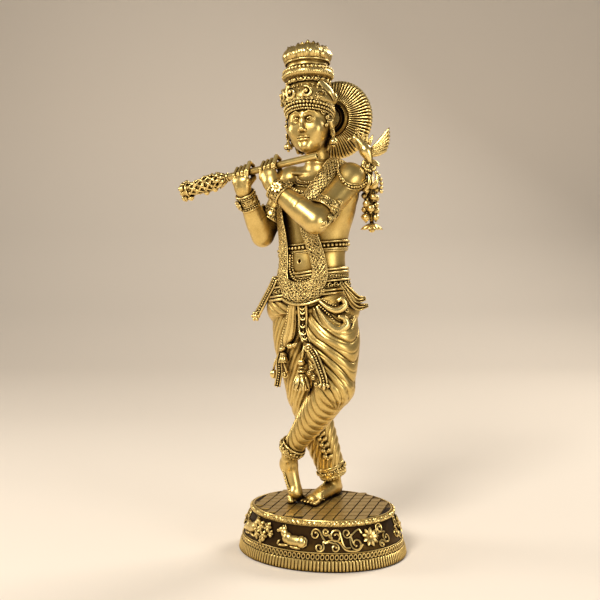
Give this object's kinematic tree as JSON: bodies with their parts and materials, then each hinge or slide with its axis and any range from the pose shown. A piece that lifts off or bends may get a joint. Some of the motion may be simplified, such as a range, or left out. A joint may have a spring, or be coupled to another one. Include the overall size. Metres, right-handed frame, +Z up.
{
  "type": "hindu deity statue",
  "caption": "Antiqued cast brass figurine of a standing flute player with crossed legs, tall crown, fan halo and garlands on an oval plinth, with a flute that slides out of the hands.",
  "frame": {"origin": "centre of the felt's underside, where the plinth rests", "axes": "+Z up, the figure faces -Y, the figure's own left side is +X"},
  "size_m": [0.1346, 0.0898, 0.3032],
  "materials": {
    "antique_brass": "antiqued, dark in the recesses, buffed high spots",
    "steel": "zinc plated",
    "felt": "pressed felt"
  },
  "bodies": {
    "statue": {"base_shell": "antique_brass", "base_cover": "antique_brass", "hips": "antique_brass", "left_leg": "antique_brass", "right_leg": "antique_brass", "right_foot": "antique_brass", "left_foot": "antique_brass", "right_ankle_cuff": "antique_brass", "left_ankle_cuff": "antique_brass", "torso": "antique_brass", "left_arm": "antique_brass", "right_arm": "antique_brass", "left_hand": "antique_brass", "right_hand": "antique_brass", "left_bracelet": "antique_brass", "right_bracelet": "antique_brass", "left_armlet": "antique_brass", "right_armlet": "antique_brass", "head": "antique_brass", "crown_cap": "antique_brass", "crown_ring": "antique_brass", "crown_lotus": "antique_brass", "tiara": "antique_brass", "left_earring": "antique_brass", "right_earring": "antique_brass", "halo_fan": "antique_brass", "halo_stem": "antique_brass", "belly_band": "antique_brass", "waist_belt": "antique_brass", "long_garland": "antique_brass", "chest_garland": "antique_brass", "collar_beads": "antique_brass", "front_sash": "antique_brass", "side_sash": "antique_brass", "sash_tassel": "antique_brass", "left_hip_tail": "antique_brass", "right_hip_tail": "antique_brass", "shoulder_bird": "antique_brass", "shoulder_tassel": "antique_brass", "cover_screws": "steel", "foot_studs": "steel", "stud_washers": "steel", "stud_nuts": "steel", "hip_dowels": "steel", "shoulder_dowels": "steel", "neck_dowel": "steel", "felt_pad": "felt"},
    "flute": {"flute_tube": "antique_brass", "flute_tassel": "antique_brass"}
  },
  "joints": [
    {"name": "flute_slide", "type": "slide", "parent": "statue", "child": "flute", "axis": [-0.9816, -0.085, -0.1711], "range_m": [0, 0.05]}
  ]
}
